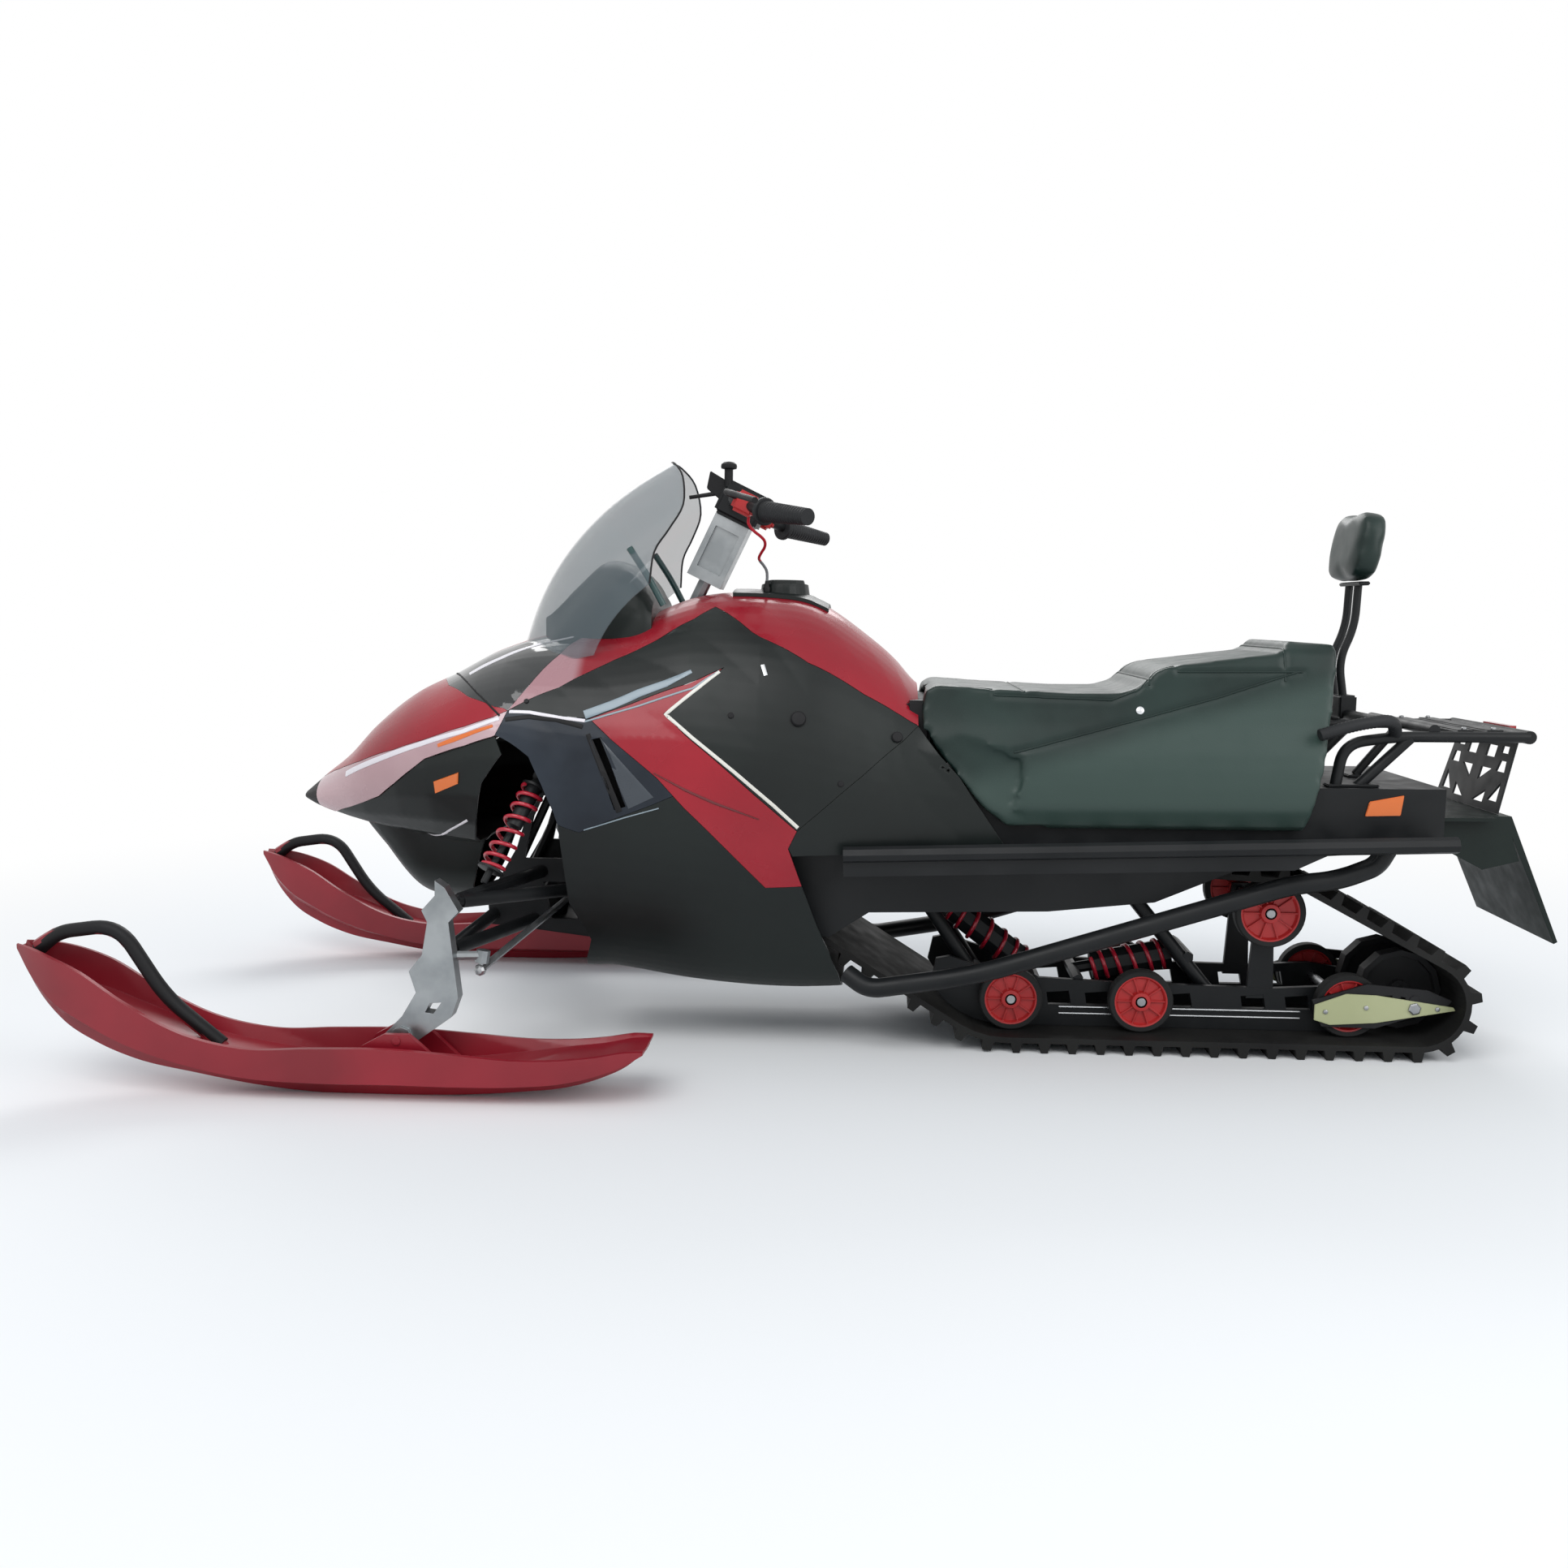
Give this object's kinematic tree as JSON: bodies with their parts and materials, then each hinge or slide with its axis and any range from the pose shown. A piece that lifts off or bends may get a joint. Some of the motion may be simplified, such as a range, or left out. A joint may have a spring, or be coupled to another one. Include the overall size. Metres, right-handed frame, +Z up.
{
  "type": "snowmobile",
  "caption": "Utility snowmobile with a moulded cowl, windshield, long seat with backrest, rear rack, turning skis and a slide-rail track.",
  "frame": {"origin": "centre of the machine's outline on the floor it stands on", "axes": "+X forward, +Y to the rider's left, +Z up"},
  "size_m": [2.968, 1.136, 1.212],
  "materials": {
    "bare_aluminium": "plain metal",
    "black_plastic": "glossy black moulded plastic",
    "engine_metal": "plain cast block",
    "flap_rubber": "dark rubber",
    "frame_black": "satin black powder coat",
    "grey_plastic": "blue grey moulded plastic",
    "grip_black": "black rubber and plastic",
    "lamp_glass": "smoked clear lens",
    "pale_trim": "pale pink silver",
    "red_paint": "glossy deep red",
    "seat_vinyl": "black textured vinyl",
    "shield_tint": "lightly smoked clear sheet",
    "ski_plastic": "deep red plastic with black handles",
    "spring_red": "red coated spring",
    "steel": "plain steel",
    "tail_lens": "red lens",
    "tether_red": "red cord",
    "track_rubber": "dull black rubber",
    "wheel_black": "black plastic",
    "wheel_red": "red plastic"
  },
  "bodies": {
    "chassis": {"tunnel": "frame_black", "running_board_left": "frame_black", "running_board_right": "frame_black", "belly_pan": "black_plastic", "nose_cowl": "black_plastic", "front_bumper": "red_paint", "hood": "red_paint", "headlight_left": "lamp_glass", "headlight_right": "lamp_glass", "nose_trim": "pale_trim", "tank_cover": "red_paint", "side_panel_left": "black_plastic", "side_panel_right": "black_plastic", "side_accent_left": "red_paint", "side_accent_right": "red_paint", "vent_panel_left": "grey_plastic", "vent_panel_right": "grey_plastic", "knee_panel_left": "black_plastic", "knee_panel_right": "black_plastic", "dash_pod": "black_plastic", "windshield": "shield_tint", "filler_cap": "black_plastic", "seat": "seat_vinyl", "backrest_frame": "frame_black", "backrest_pad": "seat_vinyl", "rear_rack": "frame_black", "rack_bracket": "frame_black", "snow_flap": "flap_rubber", "track": "track_rubber", "skid_frame": "frame_black", "front_wheels": "wheel_red", "middle_wheels": "wheel_red", "rear_wheels": "wheel_red", "carrier_wheels": "wheel_red", "rear_idlers": "wheel_black", "drive_axle": "wheel_black", "front_frame": "frame_black", "steering_mount": "frame_black", "suspension_left": "frame_black", "suspension_right": "frame_black", "engine": "engine_metal", "shock_left": "spring_red", "shock_right": "spring_red", "stop_cord": "tether_red", "tail_light": "tail_lens"},
    "steering": {"steering_post": "bare_aluminium", "handlebar": "grip_black"},
    "left_spindle": {"spindle_left": "bare_aluminium"},
    "right_spindle": {"spindle_right": "bare_aluminium"},
    "left_ski": {"ski_left": "ski_plastic"},
    "right_ski": {"ski_right": "ski_plastic"},
    "left_tie_rod": {"tie_rod_left": "steel"},
    "right_tie_rod": {"tie_rod_right": "steel"}
  },
  "joints": [
    {"name": "steering_turn", "type": "hinge", "parent": "chassis", "child": "steering", "pos_m": [0.56, 0, 0.318], "axis": [-0.4472, 0, 0.8944], "range_deg": [-35, 35]},
    {"name": "left_spindle_turn", "type": "hinge", "parent": "chassis", "child": "left_spindle", "pos_m": [0.668, 0.478, 0.3], "axis": [-0.173, -0.0858, 0.9812], "range_deg": [-25, 25]},
    {"name": "right_spindle_turn", "type": "hinge", "parent": "chassis", "child": "right_spindle", "pos_m": [0.668, -0.478, 0.3], "axis": [-0.173, 0.0858, 0.9812], "range_deg": [-25, 25]},
    {"name": "left_tie_rod_swing", "type": "hinge", "parent": "left_spindle", "child": "left_tie_rod", "pos_m": [0.607, 0.465, 0.229], "axis": [-0.173, -0.0858, 0.9812], "range_deg": [-26, 26]},
    {"name": "right_tie_rod_swing", "type": "hinge", "parent": "right_spindle", "child": "right_tie_rod", "pos_m": [0.607, -0.465, 0.229], "axis": [-0.173, 0.0858, 0.9812], "range_deg": [-26, 26]},
    {"name": "left_ski_pitch", "type": "hinge", "parent": "left_spindle", "child": "left_ski", "pos_m": [0.745, 0.5, 0.112], "axis": [0, 1, 0], "range_deg": [-10, 6]},
    {"name": "right_ski_pitch", "type": "hinge", "parent": "right_spindle", "child": "right_ski", "pos_m": [0.745, -0.5, 0.112], "axis": [0, 1, 0], "range_deg": [-10, 6]}
  ],
  "couplings": [
    {"joint": "left_spindle_turn", "follows": "steering_turn", "ratio": 0.7},
    {"joint": "right_spindle_turn", "follows": "steering_turn", "ratio": 0.7},
    {"joint": "left_tie_rod_swing", "follows": "steering_turn", "ratio": -0.724},
    {"joint": "right_tie_rod_swing", "follows": "steering_turn", "ratio": -0.724}
  ]
}
